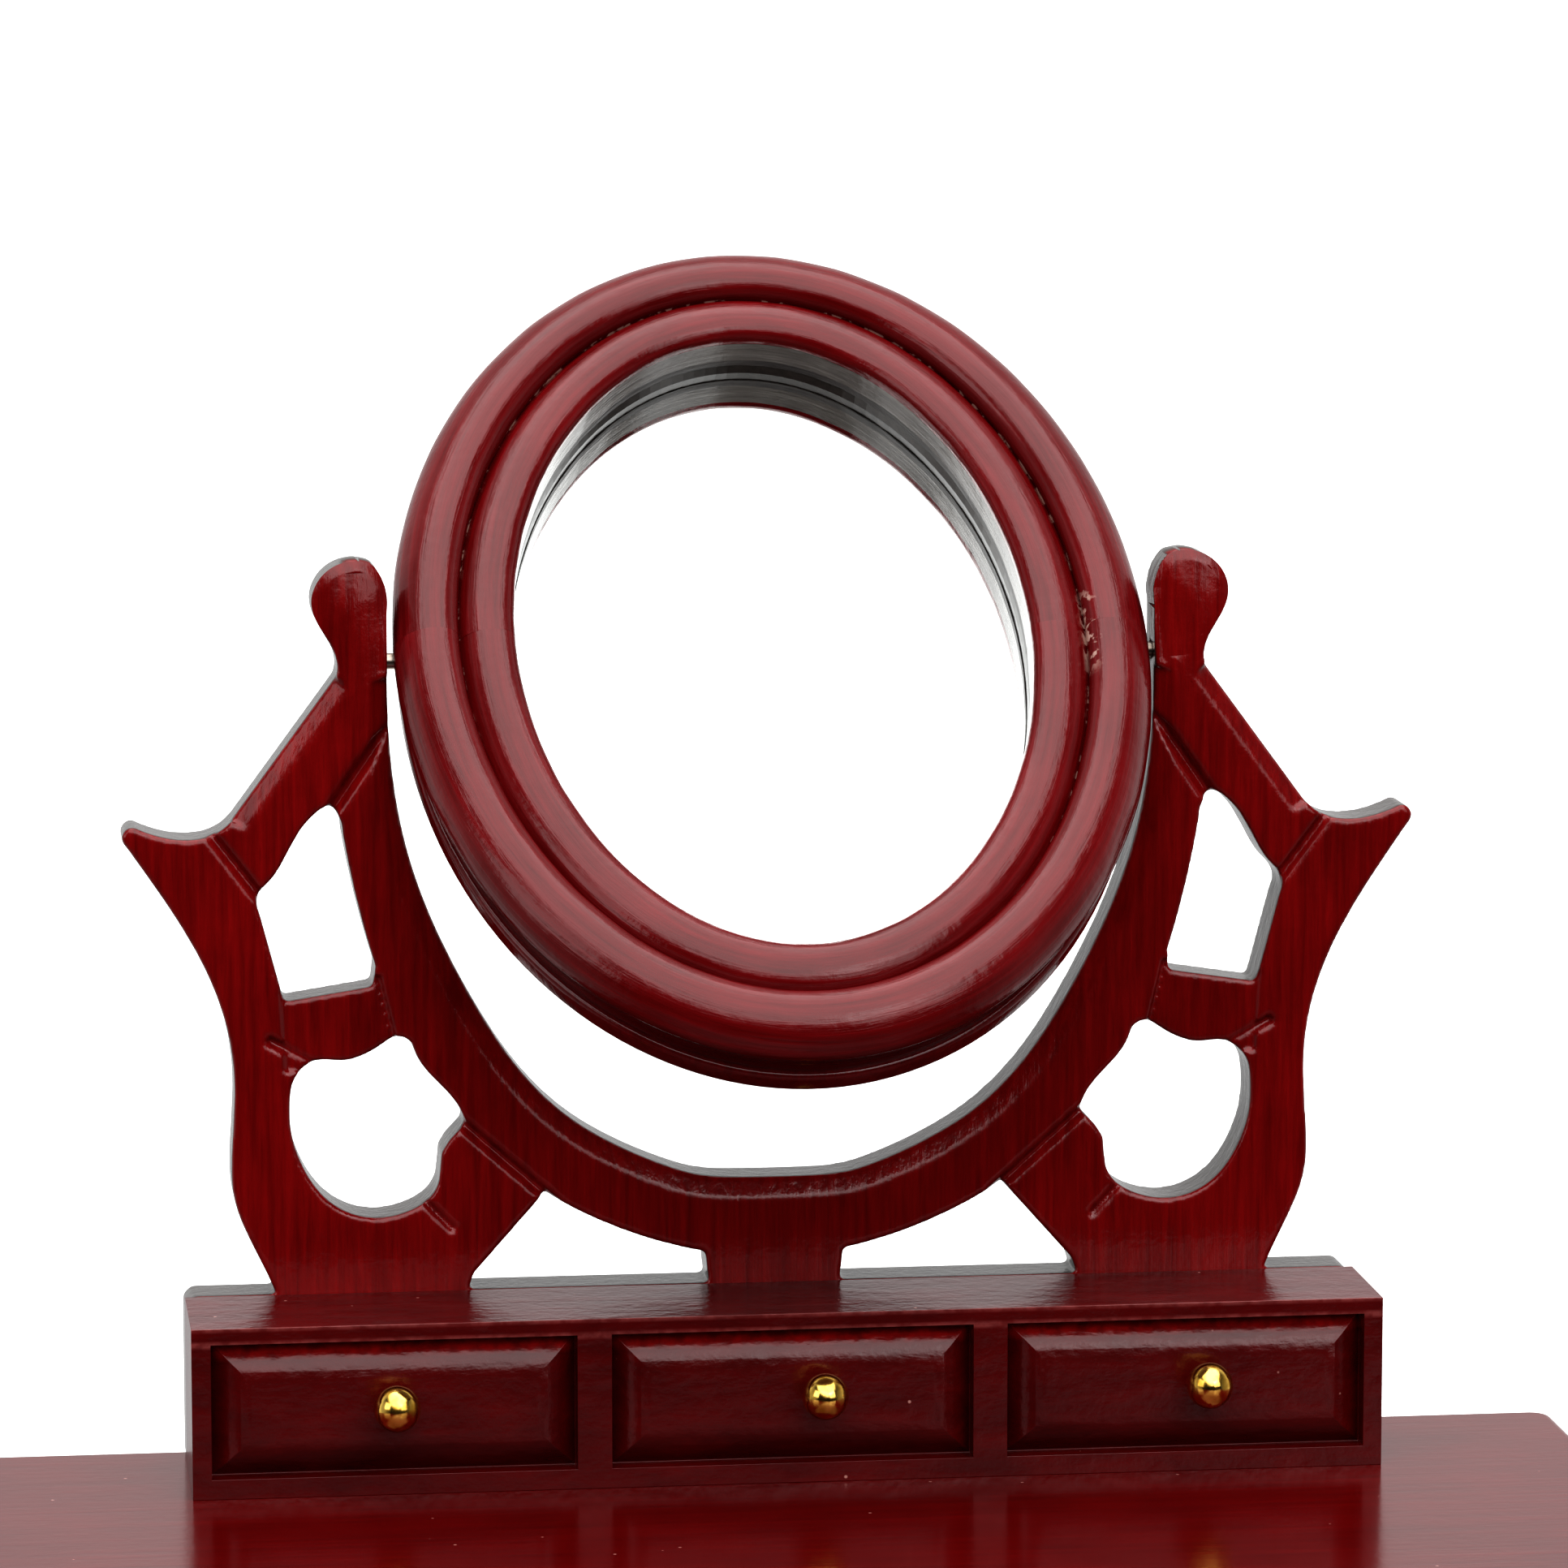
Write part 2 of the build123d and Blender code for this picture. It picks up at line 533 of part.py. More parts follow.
os.makedirs("parts", exist_ok=True)
for part_name, part in PARTS.items():
    export_step(Pos(0, -MID_Y, 0) * part, "parts/" + part_name + ".step")
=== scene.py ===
"""Looks of the miniature dressing table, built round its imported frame. All lengths are metres."""
import json
from math import cos, hypot, pi, radians, sin

import bmesh
import bpy
from mathutils import Matrix, Vector, noise


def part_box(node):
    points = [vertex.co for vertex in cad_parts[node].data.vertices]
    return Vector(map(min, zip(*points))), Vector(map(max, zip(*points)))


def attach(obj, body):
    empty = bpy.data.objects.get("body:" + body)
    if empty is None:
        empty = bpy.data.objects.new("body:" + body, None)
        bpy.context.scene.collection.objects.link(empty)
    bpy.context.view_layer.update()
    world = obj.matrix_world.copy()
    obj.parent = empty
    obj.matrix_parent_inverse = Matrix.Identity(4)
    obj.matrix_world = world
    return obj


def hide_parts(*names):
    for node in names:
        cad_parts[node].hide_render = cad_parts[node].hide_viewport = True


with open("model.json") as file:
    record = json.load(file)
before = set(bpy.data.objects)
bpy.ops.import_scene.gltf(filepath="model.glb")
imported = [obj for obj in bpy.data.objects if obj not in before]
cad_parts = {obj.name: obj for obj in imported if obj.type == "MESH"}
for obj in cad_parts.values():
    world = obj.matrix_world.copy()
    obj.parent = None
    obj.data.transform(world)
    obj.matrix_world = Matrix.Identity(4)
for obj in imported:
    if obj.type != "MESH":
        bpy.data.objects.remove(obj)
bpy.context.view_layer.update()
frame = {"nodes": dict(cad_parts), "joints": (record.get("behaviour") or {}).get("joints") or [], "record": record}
nodes = frame["nodes"]
MM = 0.001


# ---- camera -----------------------------------------------------------------------------
# The table is seen a little from the left and from above, close to the drawer box, so that
# only the upper half of it is in the picture.

block_low, block_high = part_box("box_block")
_, top_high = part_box("table_top")

CAMERA_ASIDE = -0.04697
CAMERA_AWAY = 0.3680           # from the face of the box block
CAMERA_ABOVE = 0.09183         # over the table top
CAMERA_DIP = radians(8.122)
CAMERA_TURN = radians(-7.193)
CAMERA_LENS = 158.4            # millimetres

camera = bpy.data.objects.new("camera", bpy.data.cameras.new("camera"))
bpy.context.scene.collection.objects.link(camera)
camera.location = (CAMERA_ASIDE, block_low.y - CAMERA_AWAY, top_high.z + CAMERA_ABOVE)
camera.rotation_euler = (radians(90) - CAMERA_DIP, 0, CAMERA_TURN)
camera.data.lens = CAMERA_LENS
camera.data.clip_start = 0.01
camera.data.clip_end = 50
bpy.context.scene.camera = camera
bpy.context.scene.view_settings.view_transform = "Standard"
bpy.context.scene.view_settings.look = "High Contrast"


# ---- studio -----------------------------------------------------------------------------
# A white room: one broad soft light overhead that comes forward over the camera, a pale wall
# behind, dim side walls, a dark front, a faint glow from below and two soft boxes in front.

SKY_LIGHT = 3.1
SKY_TILT = radians(24)                          # of its middle, forward from overhead
SKY_REACH = (sin(radians(37)), sin(radians(50)))  # half angles, sideways and fore and aft
SKY_FADE = (1.3, 0.75)         # squared share of that reach where it starts and where it is full
WALL_LIGHT = 0.8
DARK_LIGHT = 0.01
SIDE_LIGHT = 0.4
LOW_LIGHT = 0.3
BACKDROP = 1.05                # as the camera sees it
SOFT_BOXES = (
    # degrees round from -Y, height angle, distance, side, radiance
    (-57, 21, 0.75, 0.38, 1.6),
    (29, 21, 0.75, 0.38, 1.6),
)


def wire(tree, kind, **inputs):
    """Adds a node; an input is set to a value, or linked if it is given a socket."""
    node = tree.nodes.new(kind)
    for name, value in inputs.items():
        key = int(name[1:]) if name[0] == "i" and name[1:].isdigit() else name.replace("_", " ")
        if isinstance(value, bpy.types.NodeSocket):
            tree.links.new(value, node.inputs[key])
        else:
            node.inputs[key].default_value = value
    return node


def studio_world():
    world = bpy.data.worlds.new("studio")
    world.use_nodes = True
    tree = world.node_tree
    tree.nodes.clear()
    direction = tree.nodes.new("ShaderNodeTexCoord").outputs["Generated"]
    turned = wire(tree, "ShaderNodeMapping", Vector=direction, Rotation=(-SKY_TILT, 0, 0))
    turned.vector_type = "POINT"
    axes = wire(tree, "ShaderNodeSeparateXYZ", Vector=turned.outputs[0])
    spans = [wire(tree, "ShaderNodeMath", i0=axes.outputs[axis], i1=reach)
             for axis, reach in zip("XY", SKY_REACH)]
    for span in spans:
        span.operation = "DIVIDE"
    squares = [wire(tree, "ShaderNodeMath", i0=span.outputs[0], i1=2.0) for span in spans]
    for square in squares:
        square.operation = "POWER"
    oval = wire(tree, "ShaderNodeMath", i0=squares[0].outputs[0], i1=squares[1].outputs[0])
    above = wire(tree, "ShaderNodeMath", i0=axes.outputs["Z"], i1=0.0)
    above.operation = "GREATER_THAN"
    soft = wire(tree, "ShaderNodeMapRange", Value=oval.outputs[0], From_Min=SKY_FADE[0],
                From_Max=SKY_FADE[1], To_Min=0, To_Max=SKY_LIGHT)
    soft.interpolation_type = "SMOOTHSTEP"
    overhead = wire(tree, "ShaderNodeMath", i0=soft.outputs[0], i1=above.outputs[0])
    overhead.operation = "MULTIPLY"
    compass = wire(tree, "ShaderNodeSeparateXYZ", Vector=direction)
    wall = wire(tree, "ShaderNodeMapRange", Value=compass.outputs["Y"], From_Min=-0.2,
                From_Max=0.5, To_Min=DARK_LIGHT, To_Max=WALL_LIGHT)
    wall.interpolation_type = "SMOOTHSTEP"
    sideways = wire(tree, "ShaderNodeMath", i0=compass.outputs["X"])
    sideways.operation = "ABSOLUTE"
    side = wire(tree, "ShaderNodeMapRange", Value=sideways.outputs[0], From_Min=0.72,
                From_Max=0.95, To_Min=0, To_Max=SIDE_LIGHT)
    low = wire(tree, "ShaderNodeMapRange", Value=compass.outputs["Z"], From_Min=-0.3,
               From_Max=-0.7, To_Min=0, To_Max=LOW_LIGHT)
    total = overhead.outputs[0]
    for part in (wall, side, low):
        total = wire(tree, "ShaderNodeMath", i0=total, i1=part.outputs[0]).outputs[0]
    light = wire(tree, "ShaderNodeBackground", Strength=total)
    plain = wire(tree, "ShaderNodeBackground", Strength=BACKDROP)
    seen = tree.nodes.new("ShaderNodeLightPath").outputs["Is Camera Ray"]
    mixed = wire(tree, "ShaderNodeMixShader", i0=seen, i1=light.outputs[0], i2=plain.outputs[0])
    wire(tree, "ShaderNodeOutputWorld", Surface=mixed.outputs[0])
    bpy.context.scene.world = world


studio_world()

for number, (turn, rise, away, side, radiance) in enumerate(SOFT_BOXES):
    lamp = bpy.data.lights.new(f"soft_box_{number}", "AREA")
    lamp.shape = "SQUARE"
    lamp.size = side
    lamp.energy = radiance * pi * side * side
    holder = bpy.data.objects.new(lamp.name, lamp)
    bpy.context.scene.collection.objects.link(holder)
    turn, rise = radians(turn), radians(rise)
    toward = Vector((sin(turn) * cos(rise), -cos(turn) * cos(rise), sin(rise)))
    holder.location = Vector((0, 0, top_high.z)) + toward * away
    holder.rotation_euler = toward.to_track_quat("Z", "Y").to_euler()


# ---- floor ------------------------------------------------------------------------------
# A plain pale board that the table stands on, wide enough to fill every view. It is not
# fixed to anything, and neither the lacquer nor the mirror shows it.

def deselect():
    """Nothing is selected, so that the next operator acts on its own piece alone."""
    if bpy.context.mode != "OBJECT":
        bpy.ops.object.mode_set(mode="OBJECT")
    bpy.ops.object.select_all(action="DESELECT")


def shader(name, **sockets):
    """A material with one principled shader, its plain values set on the shader's own sockets."""
    made = bpy.data.materials.new(name)
    made.use_nodes = True
    surface = made.node_tree.nodes["Principled BSDF"]
    for socket, value in sockets.items():
        surface.inputs[socket.replace("_", " ")].default_value = value
    return made, made.node_tree, surface


deselect()
bpy.ops.mesh.primitive_circle_add(vertices=96, radius=9, fill_type="NGON")
floor = bpy.context.object
floor.name = "floor"
paper, paper_tree, paper_face = shader("pale_floor", Roughness=0.9, Specular_IOR_Level=0.1)
mottle = wire(paper_tree, "ShaderNodeTexNoise", Scale=40.0, Detail=3.0,
              Vector=paper_tree.nodes.new("ShaderNodeTexCoord").outputs["Object"])
paper_tint = paper_tree.nodes.new("ShaderNodeValToRGB")
paper_tint.color_ramp.elements[0].color = (0.93, 0.93, 0.93, 1)
paper_tint.color_ramp.elements[1].color = (0.96, 0.96, 0.96, 1)
paper_tree.links.new(mottle.outputs[0], paper_tint.inputs[0])
paper_tree.links.new(paper_tint.outputs[0], paper_face.inputs["Base Color"])
floor.data.materials.append(paper)
floor.visible_glossy = False
floor.visible_diffuse = False


# ---- table top --------------------------------------------------------------------------
# One board of close-grained hardwood with a stepped, moulded edge, stained dark cherry and
# sprayed with gloss lacquer like all the woodwork. It is glued down on the case.

PORE_LENGTH, PORE_WIDTH = 2.2 * MM, 0.09 * MM
CLOUD_SIZE = 7 * MM            # of the stain's unevenness
DUST_SPACING = 2.6 * MM
DUST_COLOR = (0.55, 0.30, 0.26, 1)
SKIN_SIZE = 0.9 * MM           # of the lacquer's orange peel
SKIN_DEPTH = 0.06 * MM
PORE_SHADE = 0.35              # of the deep stain, in the pores


def along(axis, length, width):
    """Mapping scale of a pattern that is long on one axis and narrow on the others."""
    return [1 / length if axis == name else 1 / width for name in "xyz"]


def tint_over(material, amount, color):
    """Lays another colour over a material's own, as far as a socket says."""
    tree = material.node_tree
    surface = tree.nodes["Principled BSDF"]
    mix = tree.nodes.new("ShaderNodeMix")
    mix.data_type = "RGBA"
    tree.links.new(amount, mix.inputs["Factor"])
    tree.links.new(surface.inputs["Base Color"].links[0].from_socket, mix.inputs[6])
    mix.inputs[7].default_value = color
    tree.links.new(mix.outputs[2], surface.inputs["Base Color"])


def lacquer(name, grain, deep, bright, streak=0.35, gloss=0.13, peel=0.25, length=9.0,
            pattern=None, pore_depth=0.3, dust=0.0):
    """Stained wood under gloss lacquer; grain is its axis, deep and bright are the stain."""
    made, tree, surface = shader(name, Roughness=0.5, Coat_Weight=1.0, Coat_Roughness=gloss,
                                 Coat_IOR=1.5, Specular_IOR_Level=0.0)
    if pattern:
        place = tree.nodes.new("ShaderNodeAttribute")
        place.attribute_name = pattern
        place = place.outputs["Vector"]
    else:
        place = tree.nodes.new("ShaderNodeTexCoord").outputs["Object"]
    fibre = wire(tree, "ShaderNodeMapping", Vector=place,
                 Scale=along(grain, length * MM, streak * MM))
    fibres = wire(tree, "ShaderNodeTexNoise", Vector=fibre.outputs[0], Scale=1.0, Detail=4.0,
                  Roughness=0.6, Distortion=0.3)
    pore = wire(tree, "ShaderNodeMapping", Vector=place,
                Scale=along(grain, PORE_LENGTH, PORE_WIDTH))
    pores = wire(tree, "ShaderNodeTexNoise", Vector=pore.outputs[0], Scale=1.0, Detail=2.0)
    cloud = wire(tree, "ShaderNodeTexNoise", Vector=place, Scale=1 / CLOUD_SIZE, Detail=2.0)
    faint = wire(tree, "ShaderNodeMapRange", Value=cloud.outputs[0], To_Min=0.22, To_Max=0.78)
    blend = wire(tree, "ShaderNodeMath", i0=fibres.outputs[0], i1=faint.outputs[0])
    half = wire(tree, "ShaderNodeMapRange", Value=blend.outputs[0], From_Min=0.78, From_Max=1.25)
    stain = tree.nodes.new("ShaderNodeValToRGB")
    stain.color_ramp.elements[0].color = (*deep, 1)
    stain.color_ramp.elements[1].color = (*bright, 1)
    tree.links.new(half.outputs[0], stain.inputs[0])
    dark = wire(tree, "ShaderNodeMapRange", Value=pores.outputs[0], From_Min=0.56,
                From_Max=0.74, To_Min=0, To_Max=pore_depth)
    inked = tree.nodes.new("ShaderNodeMix")
    inked.data_type = "RGBA"
    tree.links.new(dark.outputs[0], inked.inputs["Factor"])
    tree.links.new(stain.outputs[0], inked.inputs[6])
    inked.inputs[7].default_value = (*(PORE_SHADE * tone for tone in deep), 1)
    tree.links.new(inked.outputs[2], surface.inputs["Base Color"])
    if dust:
        grains = wire(tree, "ShaderNodeTexVoronoi", Vector=place, Scale=1 / DUST_SPACING)
        speck = wire(tree, "ShaderNodeMapRange", Value=grains.outputs["Distance"],
                     From_Min=0.045, From_Max=0.025, To_Min=0, To_Max=dust)
        tint_over(made, speck.outputs[0], DUST_COLOR)
    skin = wire(tree, "ShaderNodeTexNoise", Vector=place, Scale=1 / SKIN_SIZE, Detail=3.0,
                Roughness=0.55)
    relief = wire(tree, "ShaderNodeMath", i0=skin.outputs[0], i1=fibres.outputs[0])
    bump = wire(tree, "ShaderNodeBump", Height=relief.outputs[0], Strength=peel,
                Distance=SKIN_DEPTH)
    tree.links.new(bump.outputs[0], surface.inputs["Normal"])
    tree.links.new(bump.outputs[0], surface.inputs["Coat Normal"])
    return made


def repaint(node, material):
    """Gives a CAD piece its finish."""
    for slot in nodes[node].material_slots:
        slot.material = material


board_lacquer = lacquer("cherry_lacquer_board", "x", (0.085, 0.0010, 0.0016),
                        (0.130, 0.0020, 0.0026), streak=0.6, gloss=0.17, peel=0.12, length=14.0,
                        dust=0.6)
repaint("table_top", board_lacquer)


# ---- case boards ------------------------------------------------------------------------
# Side panels, back, top rail, dividers and the arched apron: thin hardwood boards glued
# between the legs, their arrises eased with a rub of fine paper before they were sprayed.

def finished_copy(node, name, arris, material, slot):
    """A copy of a CAD piece with its flat faces made whole and its arrises eased."""
    deselect()
    piece = bpy.data.objects.new(name, nodes[node].data.copy())
    bpy.context.scene.collection.objects.link(piece)
    piece.select_set(True)
    bpy.context.view_layer.objects.active = piece
    bpy.ops.mesh.customdata_custom_splitnormals_clear()
    bpy.ops.object.mode_set(mode="EDIT")
    bpy.ops.mesh.select_all(action="SELECT")
    bpy.ops.mesh.remove_doubles(threshold=1e-6)
    bpy.ops.mesh.dissolve_limited(angle_limit=radians(0.5))
    bpy.ops.object.mode_set(mode="OBJECT")
    ease(piece, arris)
    finish(piece, material, slot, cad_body(node), node)
    return piece


def ease(piece, arris, steps=3):
    """Rounds a piece's sharp arrises and keeps its flat faces flat in the light."""
    bpy.ops.object.modifier_add(type="BEVEL")
    rounding = piece.modifiers[-1]
    rounding.width = arris
    rounding.segments = steps
    rounding.limit_method = "ANGLE"
    rounding.angle_limit = radians(28)
    bpy.ops.object.modifier_apply(modifier=rounding.name)
    bpy.ops.object.shade_smooth_by_angle(angle=radians(35))
    bpy.ops.object.modifier_add(type="WEIGHTED_NORMAL")
    weighting = piece.modifiers[-1]
    weighting.keep_sharp = True
    bpy.ops.object.modifier_apply(modifier=weighting.name)


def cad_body(node):
    """The body that a CAD piece rides on."""
    return next(body for body, members in frame["record"]["behaviour"]["bodies"].items()
                if node in members)


def finish(piece, material, slot, body, *replaced):
    """Gives a piece its material and its place in the frame."""
    piece.data.materials.clear()
    piece.data.materials.append(material)
    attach(piece, body)
    if replaced:
        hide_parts(*replaced)


CASE_DEEP, CASE_BRIGHT = (0.045, 0.0012, 0.0018), (0.115, 0.0035, 0.0045)
case_lacquer = {axis: lacquer(f"cherry_lacquer_case_{axis}", axis, CASE_DEEP, CASE_BRIGHT)
                for axis in "xyz"}
for node, axis in (
    ("side_panel_left", "y"), ("side_panel_right", "y"), ("back_panel", "x"),
    ("front_top_rail", "x"), ("divider_left", "y"), ("divider_right", "y"),
    ("front_apron", "x"),
):
    finished_copy(node, node + "_eased", 0.16 * MM, case_lacquer[axis], "mahogany_lacquer")


# ---- legs -------------------------------------------------------------------------------
# Four cabriole legs, each turned and carved from one stick with its square head left on,
# sanded soft at every edge, stained and lacquered. The case boards are glued to the heads.

def softened_copy(node, name, grain_size, share, passes=3):
    """A copy of a CAD piece rebuilt as one even skin and smoothed, as sanding leaves it."""
    deselect()
    piece = bpy.data.objects.new(name, nodes[node].data.copy())
    bpy.context.scene.collection.objects.link(piece)
    piece.select_set(True)
    bpy.context.view_layer.objects.active = piece
    bpy.ops.mesh.customdata_custom_splitnormals_clear()
    bpy.ops.object.mode_set(mode="EDIT")
    bpy.ops.mesh.select_all(action="SELECT")
    bpy.ops.mesh.remove_doubles(threshold=1e-6)
    bpy.ops.object.mode_set(mode="OBJECT")
    bpy.ops.object.modifier_add(type="REMESH")
    skin = piece.modifiers[-1]
    skin.mode = "VOXEL"
    skin.voxel_size = grain_size
    bpy.ops.object.modifier_apply(modifier=skin.name)
    bpy.ops.object.modifier_add(type="SMOOTH")
    sanding = piece.modifiers[-1]
    sanding.factor = 0.5
    sanding.iterations = passes
    bpy.ops.object.modifier_apply(modifier=sanding.name)
    bpy.ops.object.modifier_add(type="DECIMATE")
    thinning = piece.modifiers[-1]
    thinning.ratio = share
    bpy.ops.object.modifier_apply(modifier=thinning.name)
    bpy.ops.object.shade_smooth()
    return piece


leg_lacquer = lacquer("cherry_lacquer_leg", "z", CASE_DEEP, CASE_BRIGHT, streak=0.4)
for end in ("front", "rear"):
    for side in ("left", "right"):
        node = f"leg_{end}_{side}"
        leg = softened_copy(node, node + "_carved", grain_size=0.2 * MM, share=0.5)
        finish(leg, leg_lacquer, "mahogany_lacquer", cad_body(node), node)


# ---- drawers ----------------------------------------------------------------------------
# Each of the three drawers is a lacquered front with a raised field, glued to two sides, a
# back and a bottom of plain pale wood. The floor boards they slide on are glued into the case,
# bare on top and stained on every other face.

def bare_wood(name, grain):
    """Unfinished pale hardwood, fine and straight in the grain."""
    made, tree, surface = shader(name, Roughness=0.62, Specular_IOR_Level=0.35)
    place = tree.nodes.new("ShaderNodeTexCoord").outputs["Object"]
    fibre = wire(tree, "ShaderNodeMapping", Vector=place, Scale=along(grain, 12 * MM, 0.4 * MM))
    fibres = wire(tree, "ShaderNodeTexNoise", Vector=fibre.outputs[0], Scale=1.0, Detail=5.0,
                  Roughness=0.65)
    tint = tree.nodes.new("ShaderNodeValToRGB")
    tint.color_ramp.elements[0].position = 0.3
    tint.color_ramp.elements[0].color = (0.36, 0.21, 0.11, 1)
    tint.color_ramp.elements[1].position = 0.7
    tint.color_ramp.elements[1].color = (0.60, 0.41, 0.24, 1)
    tree.links.new(fibres.outputs[0], tint.inputs[0])
    tree.links.new(tint.outputs[0], surface.inputs["Base Color"])
    bump = wire(tree, "ShaderNodeBump", Height=fibres.outputs[0], Strength=0.3,
                Distance=0.08 * MM)
    tree.links.new(bump.outputs[0], surface.inputs["Normal"])
    return made


pale_wood = {axis: bare_wood(f"pale_drawer_wood_{axis}", axis) for axis in "xy"}
for drawer in ("drawer_left", "drawer_centre", "drawer_right"):
    finished_copy(drawer + "_front", drawer + "_front_eased", 0.14 * MM, case_lacquer["x"],
                  "mahogany_lacquer")
    for board, axis in (("side_left", "y"), ("side_right", "y"), ("back", "x"), ("bottom", "x")):
        finished_copy(f"{drawer}_{board}", f"{drawer}_{board}_eased", 0.08 * MM,
                      pale_wood[axis], "drawer_wood")
for place in ("left", "centre", "right"):
    floor_board = finished_copy("drawer_floor_" + place, f"drawer_floor_{place}_eased",
                                0.08 * MM, pale_wood["y"], "drawer_wood")
    floor_board.data.materials.append(case_lacquer["x"])
    for face in floor_board.data.polygons:
        if face.normal.z < 0.5:
            face.material_index = 1


# ---- box block --------------------------------------------------------------------------
# A solid strip of wood glued in front of the stand. A router has cut three panels into its
# face to look like drawers: a groove round each, and a hollow slope up to a flat field.

PANEL_GAP = 1.9 * MM
END_STILE = 1.05 * MM
TOP_STILE = 0.9 * MM
LOW_STILE = 1.1 * MM
GROOVE_DEPTH = 1.25 * MM
# steps of the routed slope: how far in, and how far up from the groove
SLOPE = ((0.06, 0.0), (0.30, 0.26), (0.30, 0.25), (0.30, 0.22), (0.32, 0.17), (0.32, 0.12),
         (0.32, 0.07), (0.32, 0.03))


def pick_faces(piece, wanted):
    """In edit mode, selects only the faces whose centre and normal are wanted."""
    bpy.ops.mesh.select_mode(type="FACE")
    bpy.ops.mesh.select_all(action="DESELECT")
    shape = bmesh.from_edit_mesh(piece.data)
    for face in shape.faces:
        if wanted(face.calc_center_median(), face.normal):
            face.select_set(True)
    bmesh.update_edit_mesh(piece.data)


def cut_across(point, direction):
    """In edit mode, cuts new edges right through the piece on a plane."""
    bpy.ops.mesh.select_all(action="SELECT")
    bpy.ops.mesh.bisect(plane_co=point, plane_no=direction, threshold=1e-7)


def board_between(low, high, name):
    """A plain board between two corners, its place in its mesh."""
    deselect()
    bpy.ops.mesh.primitive_cube_add(size=1, location=(low + high) / 2, scale=high - low)
    bpy.ops.object.transform_apply(location=True, rotation=True, scale=True)
    bpy.context.object.name = name
    return bpy.context.object


block = board_between(block_low, block_high, "drawer_box")
panel_width = (block_high.x - block_low.x - 2 * END_STILE - 2 * PANEL_GAP) / 3
panels = [block_low.x + END_STILE + index * (panel_width + PANEL_GAP) for index in range(3)]
panel_low, panel_high = block_low.z + LOW_STILE, block_high.z - TOP_STILE
bpy.ops.object.mode_set(mode="EDIT")
for left in panels:
    cut_across((left, 0, 0), (1, 0, 0))
    cut_across((left + panel_width, 0, 0), (1, 0, 0))
cut_across((0, 0, panel_low), (0, 0, 1))
cut_across((0, 0, panel_high), (0, 0, 1))
for left in panels:
    pick_faces(block, lambda centre, normal: normal.y < -0.9 and left < centre.x
               < left + panel_width and panel_low < centre.z < panel_high)
    bpy.ops.mesh.extrude_region_move(TRANSFORM_OT_translate={"value": (0, GROOVE_DEPTH, 0)})
    for inward, upward in SLOPE:
        bpy.ops.mesh.inset(thickness=inward * MM, depth=upward * MM, use_even_offset=True)
bpy.ops.mesh.select_all(action="SELECT")
bpy.ops.mesh.normals_make_consistent(inside=False)
bpy.ops.object.mode_set(mode="OBJECT")
ease(block, 0.14 * MM)


def painted_light_lines(material, color, width, strong, *lines):
    """Painted light: another colour along a piece's level lines, each given by its depth and height."""
    tree = material.node_tree
    place = tree.nodes.new("ShaderNodeTexCoord").outputs["Object"]
    spots = wire(tree, "ShaderNodeTexNoise", Vector=place, Scale=1 / (0.7 * MM), Detail=4.0)
    lit_band = None
    for depth, height in lines:
        flat = wire(tree, "ShaderNodeVectorMath", i0=place, i1=(0.0, depth, height))
        flat.operation = "SUBTRACT"
        thrown = wire(tree, "ShaderNodeVectorMath", i0=flat.outputs[0], i1=(0.0, 1.0, 1.0))
        thrown.operation = "MULTIPLY"
        reach = wire(tree, "ShaderNodeVectorMath", i0=thrown.outputs[0])
        reach.operation = "LENGTH"
        near = wire(tree, "ShaderNodeMapRange", Value=reach.outputs["Value"],
                    From_Min=width, From_Max=width * 0.3, To_Min=0, To_Max=1)
        if lit_band is None:
            lit_band = near.outputs[0]
        else:
            joined = wire(tree, "ShaderNodeMath", i0=lit_band, i1=near.outputs[0])
            joined.operation = "MAXIMUM"
            lit_band = joined.outputs[0]
    patchy = wire(tree, "ShaderNodeMapRange", Value=spots.outputs[0], From_Min=0.38,
                  From_Max=0.62, To_Min=strong * 0.4, To_Max=strong)
    amount = wire(tree, "ShaderNodeMath", i0=lit_band, i1=patchy.outputs[0])
    amount.operation = "MULTIPLY"
    tint_over(material, amount.outputs[0], (*color, 1))


block_lacquer = lacquer("cherry_lacquer_block", "x", (0.066, 0.0008, 0.0014),
                        (0.112, 0.0018, 0.0026), streak=1.4, gloss=0.25, peel=0.9,
                        length=5.0, pore_depth=0.12, dust=0.7)
# Pink along the block's top front arris and the upper edge of each panel's groove: painted highlight, with a
# little lacquer worn thin
WEAR_AND_HIGHLIGHT_PINK, WEAR_AND_HIGHLIGHT_WIDTH = (0.33, 0.09, 0.085), 0.26 * MM
# Bright red on the panels' top slopes down in the groove: painted light where the groove lies in shade
GROOVE_PAINTED_LIGHT_RED, GROOVE_PAINTED_LIGHT_WIDTH = (0.36, 0.008, 0.008), 0.8 * MM
PAINTED_LIGHT_REACH, PAINTED_LIGHT_FALL = 0.7, 0.35 * MM   # share of the depth, and down from the panel's top
painted_light_lines(block_lacquer, WEAR_AND_HIGHLIGHT_PINK, WEAR_AND_HIGHLIGHT_WIDTH, 0.5, (block_low.y, block_high.z),
             (block_low.y, panel_high))
painted_light_lines(block_lacquer, GROOVE_PAINTED_LIGHT_RED, GROOVE_PAINTED_LIGHT_WIDTH, 0.75,
             (block_low.y + GROOVE_DEPTH * PAINTED_LIGHT_REACH, panel_high - PAINTED_LIGHT_FALL))
finish(block, block_lacquer, "mahogany_lacquer", "carcase", "box_block")


# ---- knobs ------------------------------------------------------------------------------
# Six round-headed brass pins, plated and polished. Each is pressed into a drilled hole, so
# its ball stands just off the wood on a short shank.

KNOB_BALL = 1.28 * MM
KNOB_SHANK = 0.42 * MM
KNOB_REACH = 0.99              # of the ball's radius, to where its shank starts


